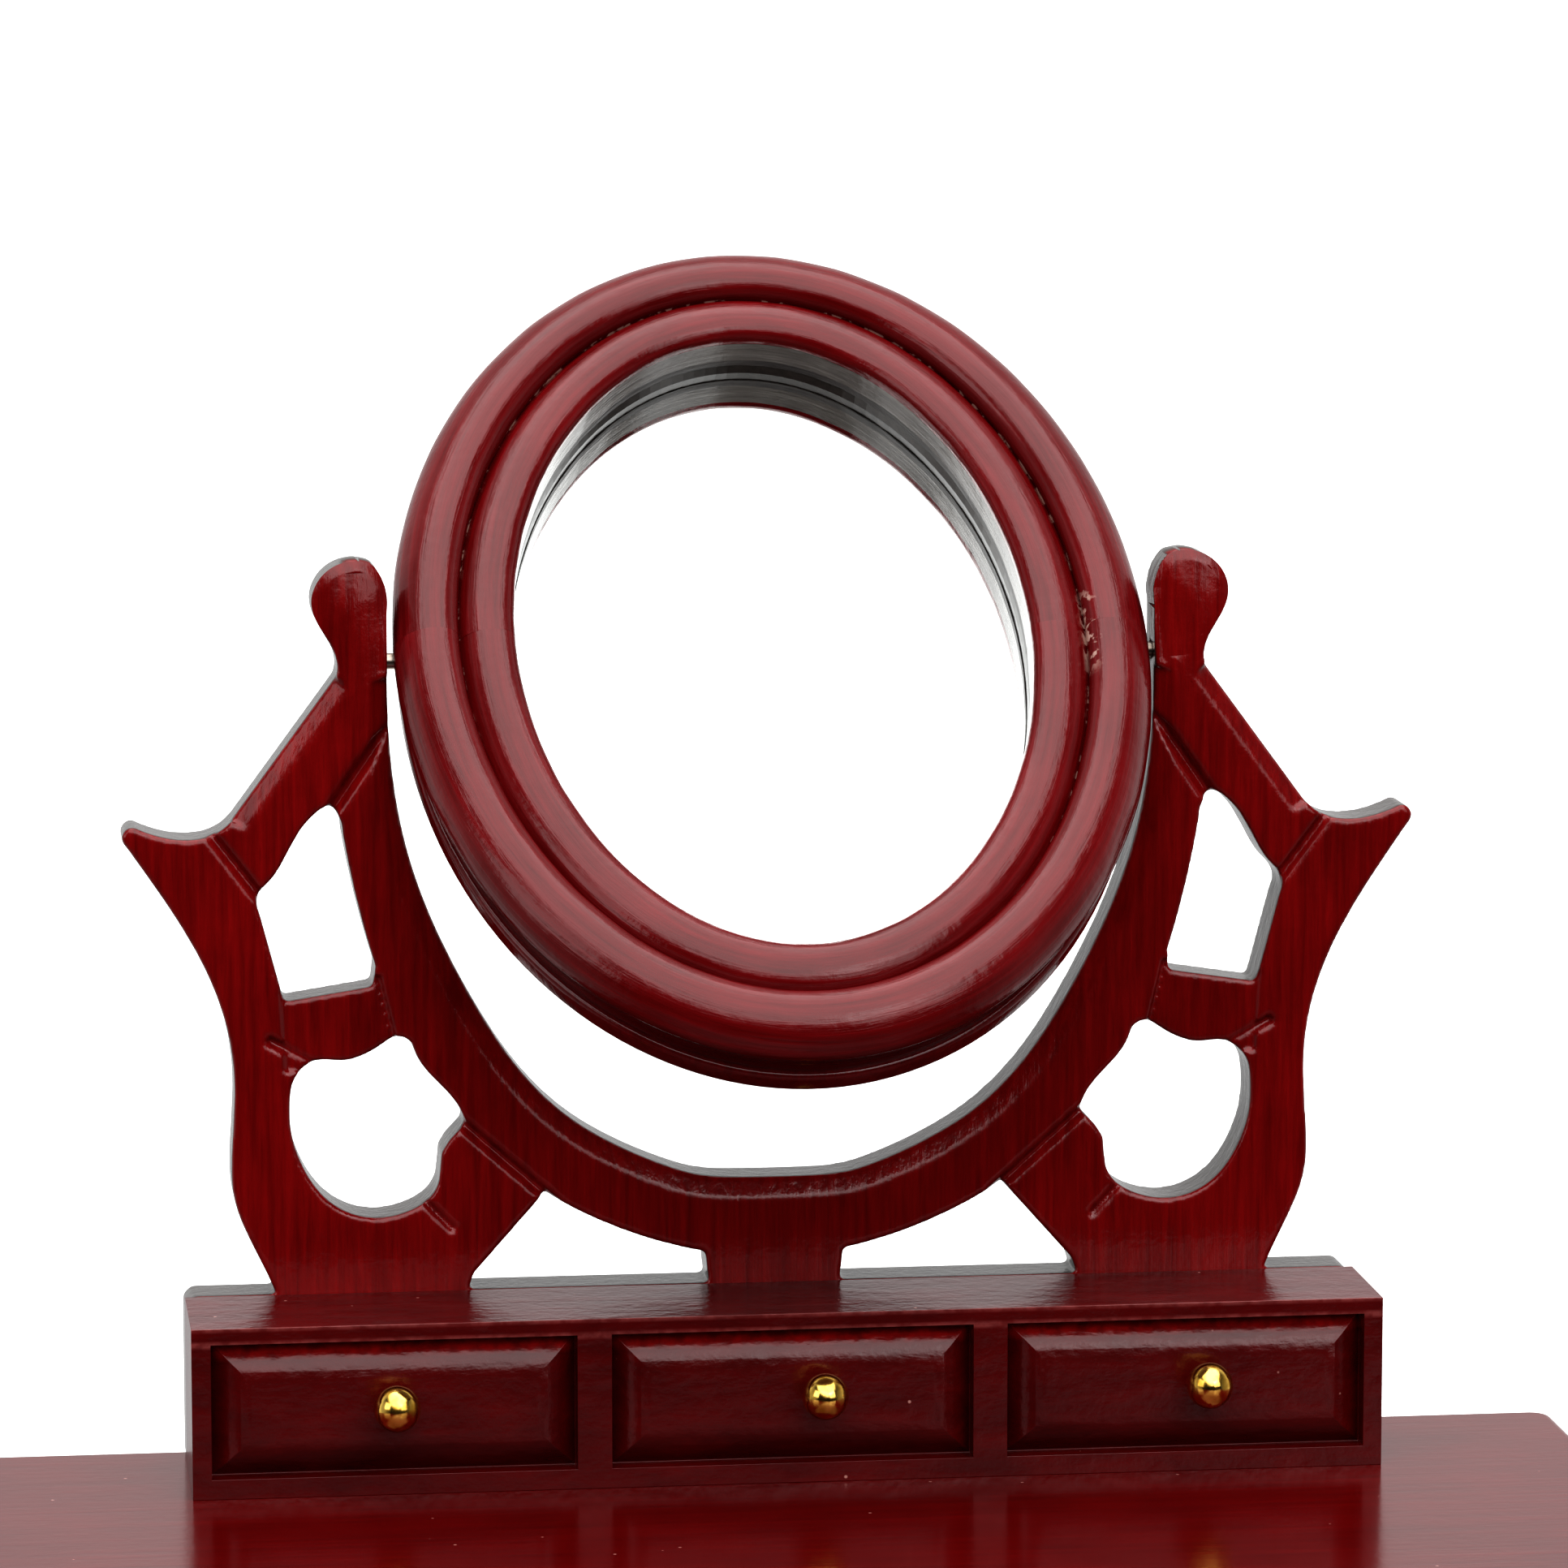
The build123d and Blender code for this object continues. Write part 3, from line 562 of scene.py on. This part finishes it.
def polished_brass():
    made, tree, surface = shader("polished_brass", Metallic=1.0, Roughness=0.16)
    place = tree.nodes.new("ShaderNodeTexCoord").outputs["Object"]
    tarnish = wire(tree, "ShaderNodeTexNoise", Vector=place, Scale=1 / (0.8 * MM), Detail=3.0)
    tint = tree.nodes.new("ShaderNodeValToRGB")
    tint.color_ramp.elements[0].position = 0.35
    tint.color_ramp.elements[0].color = (0.62, 0.36, 0.06, 1)
    tint.color_ramp.elements[1].position = 0.6
    tint.color_ramp.elements[1].color = (0.90, 0.62, 0.17, 1)
    tree.links.new(tarnish.outputs[0], tint.inputs[0])
    tree.links.new(tint.outputs[0], surface.inputs["Base Color"])
    haze = wire(tree, "ShaderNodeMapRange", Value=tarnish.outputs[0], From_Min=0.3,
                From_Max=0.7, To_Min=0.24, To_Max=0.12)
    tree.links.new(haze.outputs[0], surface.inputs["Roughness"])
    bump = wire(tree, "ShaderNodeBump", Height=tarnish.outputs[0], Strength=0.35,
                Distance=0.05 * MM)
    tree.links.new(bump.outputs[0], surface.inputs["Normal"])
    return made


def brass_knob(node, material):
    """One pin: a ball drawn in at the back to a straight shank."""
    low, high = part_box(node)
    ball = Vector(((low.x + high.x) / 2, low.y + KNOB_BALL, (low.z + high.z) / 2))
    deselect()
    bpy.ops.mesh.primitive_uv_sphere_add(segments=40, ring_count=24, radius=KNOB_BALL,
                                         location=ball, rotation=(pi / 2, 0, 0))
    knob = bpy.context.object
    knob.name = node + "_pin"
    bpy.ops.object.transform_apply(location=True, rotation=True, scale=True)
    bpy.ops.object.mode_set(mode="EDIT")
    pick_faces(knob, lambda centre, normal: normal.y > 0.93)
    bpy.ops.mesh.delete(type="FACE")
    bpy.ops.mesh.select_mode(type="VERT")
    bpy.ops.mesh.select_all(action="DESELECT")
    bpy.ops.mesh.select_non_manifold()
    shape = bmesh.from_edit_mesh(knob.data)
    back = max(vert.co.y for vert in shape.verts)
    rim = max(hypot(vert.co.x - ball.x, vert.co.z - ball.z)
              for vert in shape.verts if vert.select)
    for width, reach in ((KNOB_SHANK, ball.y + KNOB_BALL * KNOB_REACH - back),
                         (KNOB_SHANK, high.y - ball.y - KNOB_BALL * KNOB_REACH)):
        bpy.ops.mesh.extrude_region_move(TRANSFORM_OT_translate={"value": (0, reach, 0)})
        bpy.ops.transform.resize(value=(width / rim, 1, width / rim), center_override=ball)
        rim = width
    bpy.ops.mesh.edge_face_add()
    bpy.ops.mesh.select_all(action="SELECT")
    bpy.ops.mesh.normals_make_consistent(inside=False)
    bpy.ops.object.mode_set(mode="OBJECT")
    bpy.ops.object.shade_smooth_by_angle(angle=radians(40))
    finish(knob, material, "brass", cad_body(node), node)


brass = polished_brass()
for place in ("left", "centre", "right"):
    brass_knob("box_knob_" + place, brass)
    brass_knob(f"drawer_{place}_knob", brass)


# ---- mirror stand -----------------------------------------------------------------------
# A fretwork board sawn from one piece of hardwood, the grain upright, its front carved with
# bevels and V grooves and its bulbs rounded. It is glued behind the box block on the top.

BULB_ASIDE = 23.7 * MM         # centre of a bulb, from the middle and above the table top
BULB_ABOVE = 48.35 * MM
BULB_RADIUS = 2.4 * MM
BULB_DROP = 0.7 * MM           # how far its rim is carved back
BURNT_COLOR = (0.055, 0.047, 0.043, 1)
NECK_STRETCH = 0.35            # below its centre a bulb is drawn out
NECK_LENGTH = 2.2              # in radii, until the carving has died away


def burnt_edges(material):
    """Darkens a fretwork's sawn edges, which face neither front nor back."""
    tree = material.node_tree
    facing = wire(tree, "ShaderNodeSeparateXYZ",
                  Vector=tree.nodes.new("ShaderNodeTexCoord").outputs["Normal"])
    level = wire(tree, "ShaderNodeMath", i0=facing.outputs["Y"])
    level.operation = "ABSOLUTE"
    sawn = wire(tree, "ShaderNodeMapRange", Value=level.outputs[0], From_Min=0.45,
                From_Max=0.18, To_Min=0, To_Max=1)
    tint_over(material, sawn.outputs[0], BURNT_COLOR)


def dome(piece, front, x, z, radius, drop):
    """Rounds the front of a piece about a point, and lets it die away down the neck."""
    for vert in piece.data.vertices:
        below = max(z - vert.co.z, 0)
        height = below * NECK_STRETCH if below else vert.co.z - z
        away = hypot(vert.co.x - x, height) / radius
        fade = max(0, 1 - below / (NECK_LENGTH * radius))
        if away < 1 and fade and vert.co.y < front + drop:
            fallen = drop * fade * away * away
            vert.co.y = max(vert.co.y, front + fallen)


stand_lacquer = lacquer("cherry_lacquer_stand", "z", (0.130, 0.0018, 0.0026),
                        (0.240, 0.0060, 0.0065), streak=0.45, gloss=0.17, peel=0.55, length=7.0,
                        pore_depth=0.2)
burnt_edges(stand_lacquer)
stand = softened_copy("mirror_stand", "fretwork_stand", grain_size=0.14 * MM, share=0.22,
                      passes=8)
stand_low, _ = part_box("mirror_stand")
for side in (-1, 1):
    dome(stand, stand_low.y, side * BULB_ASIDE, top_high.z + BULB_ABOVE, BULB_RADIUS, BULB_DROP)
finish(stand, stand_lacquer, "mahogany_lacquer", "carcase", "mirror_stand")


# ---- pivot pins -------------------------------------------------------------------------
# Two short headless steel pins, cut from wire and driven into the arms. The mirror frame
# turns on their bright ends.

def drawn_steel():
    made, tree, surface = shader("drawn_steel", Metallic=1.0, Roughness=0.3)
    place = tree.nodes.new("ShaderNodeTexCoord").outputs["Object"]
    rings = wire(tree, "ShaderNodeTexNoise", Vector=place, Scale=1 / (0.5 * MM), Detail=3.0)
    tint = tree.nodes.new("ShaderNodeValToRGB")
    tint.color_ramp.elements[0].color = (0.20, 0.13, 0.09, 1)
    tint.color_ramp.elements[1].color = (0.62, 0.56, 0.50, 1)
    tree.links.new(rings.outputs[0], tint.inputs[0])
    tree.links.new(tint.outputs[0], surface.inputs["Base Color"])
    return made


steel = drawn_steel()
for side in ("left", "right"):
    repaint("pivot_pin_" + side, steel)


# ---- mirror frame -----------------------------------------------------------------------
# Two half ovals of hardwood, each shaped from one piece: a fat outer bead, a fine groove, a
# smaller inner bead and a plain wall down to the glass. They are glued end to end at the
# pivots, and an oval backboard is glued on behind.

pivot = Vector(frame["joints"][0]["pos_m"])
LEAN = radians(44)
mirror_place = Matrix.Translation(pivot) @ Matrix.Rotation(-LEAN, 4, "X")
HALF_WIDTH = 21.1 * MM
HALF_HEIGHT = 27.75 * MM
OUTER_HALF, OUTER_STEPS = 1.80, 18   # half width of a bead in millimetres, and its facets
INNER_HALF, INNER_STEPS = 1.50, 19
BEAD_RISE = 0.66                     # of the inner bead's foot over the outer one's
STEPS = 150                          # of each half ring, from pivot to pivot
WALL_POINTS = 5                      # last of the section, from the inner bead to the glass
GROOVE_WAY = 12.6 * MM               # of the groove, along the section from its first point
SHAKE_AROUND, SHAKE_ACROSS = 4 * MM, 3 * MM   # size of the hand sanding's unevenness
SHAKE_DEPTH = 0.05 * MM
GRAIN_APART = 0.03                   # keeps the two halves' grain from being mirrored
CHIP_COLOR = (0.50, 0.34, 0.29, 1)


def turned_profile():
    """Frame section as points in from the outer edge and forward from the pivot line."""
    points = [(5.3, -1.2), (0.8, -1.2), (0.8, 0.2), (0.72, 0.38), (0.35, 0.55), (0.08, 0.78)]
    for step in range(OUTER_STEPS + 1):
        share = step / OUTER_STEPS
        turn = pi * (1 - share)
        points.append((OUTER_HALF + OUTER_HALF * cos(turn) + 0.28 * sin(turn),
                       1.06 + 1.84 * sin(turn) ** 0.95 + BEAD_RISE * share * share))
    for step in range(1, INNER_STEPS + 1):
        turn = pi * (1 - step / INNER_STEPS)
        points.append((5.20 + INNER_HALF * cos(turn) + 0.30 * sin(turn),
                       1.06 + BEAD_RISE + 1.12 * sin(turn) ** 0.9))
    points += [(6.7, 1.68), (6.7, 0.2), (6.7, -0.26), (6.66, -0.3), (5.3, -0.3)]
    return [(inward * MM, forward * MM) for inward, forward in points]


def frame_half(name, sign):
    """Half of the ring from pivot to pivot, with the way round and across kept for its grain."""
    profile = turned_profile()
    mesh = bpy.data.meshes.new(name)
    ring = bpy.data.objects.new(name, mesh)
    bpy.context.scene.collection.objects.link(ring)
    shape = bmesh.new()
    way = shape.verts.layers.float_vector.new("ring_way")
    rows = []
    around = 0.0
    for step in range(STEPS + 1):
        turn = sign * pi * step / STEPS
        edge = Vector((HALF_WIDTH * cos(turn), 0, HALF_HEIGHT * sin(turn)))
        inward = Vector((-cos(turn) / HALF_WIDTH, 0, -sin(turn) / HALF_HEIGHT)).normalized()
        if step:
            around += (edge - before).length
        before = edge
        row, across = [], 0.0
        for index, (deep, front) in enumerate(profile):
            if index:
                across += hypot(deep - profile[index - 1][0], front - profile[index - 1][1])
            point = edge + inward * deep + Vector((0, -front, 0))
            shaken = noise.noise(Vector((sign * around / SHAKE_AROUND,
                                         across / SHAKE_ACROSS, sign * 3.0)))
            point += inward * abs(shaken) * SHAKE_DEPTH
            vert = shape.verts.new(mirror_place @ point)
            vert[way] = Vector((sign * around, across, sign * GRAIN_APART))
            row.append(vert)
        rows.append(row)
    for first, second in zip(rows, rows[1:]):
        for index in range(len(profile)):
            after = (index + 1) % len(profile)
            shape.faces.new((first[index], first[after], second[after], second[index]))
    shape.faces.new(rows[0])
    shape.faces.new(rows[-1])
    bmesh.ops.recalc_face_normals(shape, faces=shape.faces)
    shape.to_mesh(mesh)
    shape.free()
    deselect()
    ring.select_set(True)
    bpy.context.view_layer.objects.active = ring
    bpy.ops.object.shade_smooth_by_angle(angle=radians(40))
    return ring


def chipped_groove(material, way):
    """Pale bare specks along the frame's groove, and one chip beside a pivot."""
    tree = material.node_tree
    place = tree.nodes.new("ShaderNodeAttribute")
    place.attribute_name = way
    parts = wire(tree, "ShaderNodeSeparateXYZ", Vector=place.outputs["Vector"])
    amounts = []
    for at, half, middle, reach, grit, least in (
        (GROOVE_WAY, 0.22 * MM, 0.0, 0.2, 0.8 * MM, 0.55),
        (GROOVE_WAY - 0.45 * MM, 1.1 * MM, -0.4 * MM, 3.6 * MM, 0.9 * MM, 0.50),
    ):
        amount = None
        for value, centre, width in (("Y", at, half), ("X", middle, reach)):
            offset = wire(tree, "ShaderNodeMath", i0=parts.outputs[value], i1=centre)
            offset.operation = "SUBTRACT"
            span = wire(tree, "ShaderNodeMath", i0=offset.outputs[0])
            span.operation = "ABSOLUTE"
            inside = wire(tree, "ShaderNodeMapRange", Value=span.outputs[0], From_Min=width,
                          From_Max=width * 0.5, To_Min=0, To_Max=1)
            if amount is None:
                amount = inside.outputs[0]
            else:
                both = wire(tree, "ShaderNodeMath", i0=amount, i1=inside.outputs[0])
                both.operation = "MULTIPLY"
                amount = both.outputs[0]
        specks = wire(tree, "ShaderNodeTexNoise", Vector=place.outputs["Vector"],
                      Scale=1 / grit, Detail=3.0)
        bare = wire(tree, "ShaderNodeMapRange", Value=specks.outputs[0], From_Min=least,
                    From_Max=least + 0.05, To_Min=0, To_Max=1)
        shown = wire(tree, "ShaderNodeMath", i0=amount, i1=bare.outputs[0])
        shown.operation = "MULTIPLY"
        amounts.append(shown.outputs[0])
    most = wire(tree, "ShaderNodeMath", i0=amounts[0], i1=amounts[1])
    most.operation = "MAXIMUM"
    tint_over(material, most.outputs[0], CHIP_COLOR)


ring_lacquer = lacquer("cherry_lacquer_frame", "x", (0.100, 0.0015, 0.0025),
                       (0.170, 0.0060, 0.0085), streak=0.35, gloss=0.17, peel=0.5,
                       pattern="ring_way", pore_depth=0.2)
chipped_groove(ring_lacquer, "ring_way")
wall_lacquer = lacquer("grey_wall_lacquer", "x", (0.085, 0.070, 0.064), (0.200, 0.175, 0.160),
                       streak=0.25, gloss=0.24, peel=0.3, pattern="ring_way")
# The wall's lower part, down to the glass, is painted dark: painted shade of the rebate
wall_shade_lacquer = lacquer("wall_painted_shade", "x", (0.020, 0.013, 0.012), (0.050, 0.036, 0.032),
                       streak=0.25, gloss=0.42, peel=0.3, pattern="ring_way")
backing_lacquer = lacquer("cherry_lacquer_backing", "z", (0.110, 0.0030, 0.0040),
                          (0.180, 0.0070, 0.0090))
for half, sign in (("upper", 1), ("lower", -1)):
    ring = frame_half(f"frame_{half}_half", sign)
    finish(ring, ring_lacquer, "mahogany_lacquer", "mirror", f"mirror_frame_{half}")
    ring.data.materials.append(wall_lacquer)
    ring.data.materials.append(wall_shade_lacquer)
    section = len(turned_profile())
    # red lacquer outside the wall, grey on the wall's upper face, painted shade on its lower faces
    for face in ring.data.polygons[:STEPS * section]:
        past = face.index % section - (section - WALL_POINTS)
        face.material_index = 0 if past < 0 else 1 if past == 0 else 2
finished_copy("mirror_backboard", "backboard_eased", 0.35 * MM, backing_lacquer,
              "mahogany_lacquer")


# ---- mirror glass -----------------------------------------------------------------------
# An oval of thin glass, silvered on its back. It lies in the frame's rebate, so the silver shows
# well behind the lip, inside a narrow dark band that is painted shade of the rebate.

# rows of the glass in millimetres: how far in from the frame's outer edge, and how far
# forward of the pivot line; the last one bounds the silver
GLASS_ROWS = ((5.5, -1.18), (5.5, -0.34), (6.65, -0.34), (6.7, -0.95))
GLASS_STEPS = 120


def silvered_glass():
    made, _, surface = shader("silvered_glass", Metallic=1.0, Roughness=0.01)
    surface.inputs["Base Color"].default_value = (0.93, 0.95, 0.94, 1)
    return made


# Dark brown for the glass's hidden edge and back, and for the band round the silver, where it is painted shade
def glass_edge_and_painted_shade():
    made, tree, surface = shader("glass_edge_with_painted_shade", Roughness=0.3)
    place = tree.nodes.new("ShaderNodeTexCoord").outputs["Object"]
    grit = wire(tree, "ShaderNodeTexNoise", Vector=place, Scale=1 / (0.3 * MM), Detail=3.0)
    tint = tree.nodes.new("ShaderNodeValToRGB")
    tint.color_ramp.elements[0].color = (0.020, 0.014, 0.012, 1)
    tint.color_ramp.elements[1].color = (0.060, 0.044, 0.038, 1)
    tree.links.new(grit.outputs[0], tint.inputs[0])
    tree.links.new(tint.outputs[0], surface.inputs["Base Color"])
    return made


def silvered_oval(name, rows, steps):
    """Closed oval from rows of how far in and how far forward, the last one its silver."""
    mesh = bpy.data.meshes.new(name)
    glass = bpy.data.objects.new(name, mesh)
    bpy.context.scene.collection.objects.link(glass)
    shape = bmesh.new()
    rings = []
    for inset, front in rows:
        ring = []
        for step in range(steps):
            turn = 2 * pi * step / steps
            inward = Vector((-cos(turn) / HALF_WIDTH, 0, -sin(turn) / HALF_HEIGHT)).normalized()
            point = Vector((HALF_WIDTH * cos(turn), -front * MM, HALF_HEIGHT * sin(turn)))
            ring.append(shape.verts.new(mirror_place @ (point + inward * inset * MM)))
        rings.append(ring)
    for first, second in zip(rings, rings[1:]):
        for step in range(steps):
            after = (step + 1) % steps
            shape.faces.new((first[step], first[after], second[after], second[step]))
    shape.faces.new(rings[0])
    shape.faces.new(rings[-1])
    bmesh.ops.recalc_face_normals(shape, faces=shape.faces)
    shape.to_mesh(mesh)
    shape.free()
    return glass


glass = silvered_oval("glass_oval", GLASS_ROWS, GLASS_STEPS)
finish(glass, glass_edge_and_painted_shade(), "silvered_glass", "mirror", "mirror_glass")
glass.data.materials.append(silvered_glass())
glass.data.polygons[-1].material_index = 1


# ---- end --------------------------------------------------------------------------------
# Nothing is left selected.

deselect()
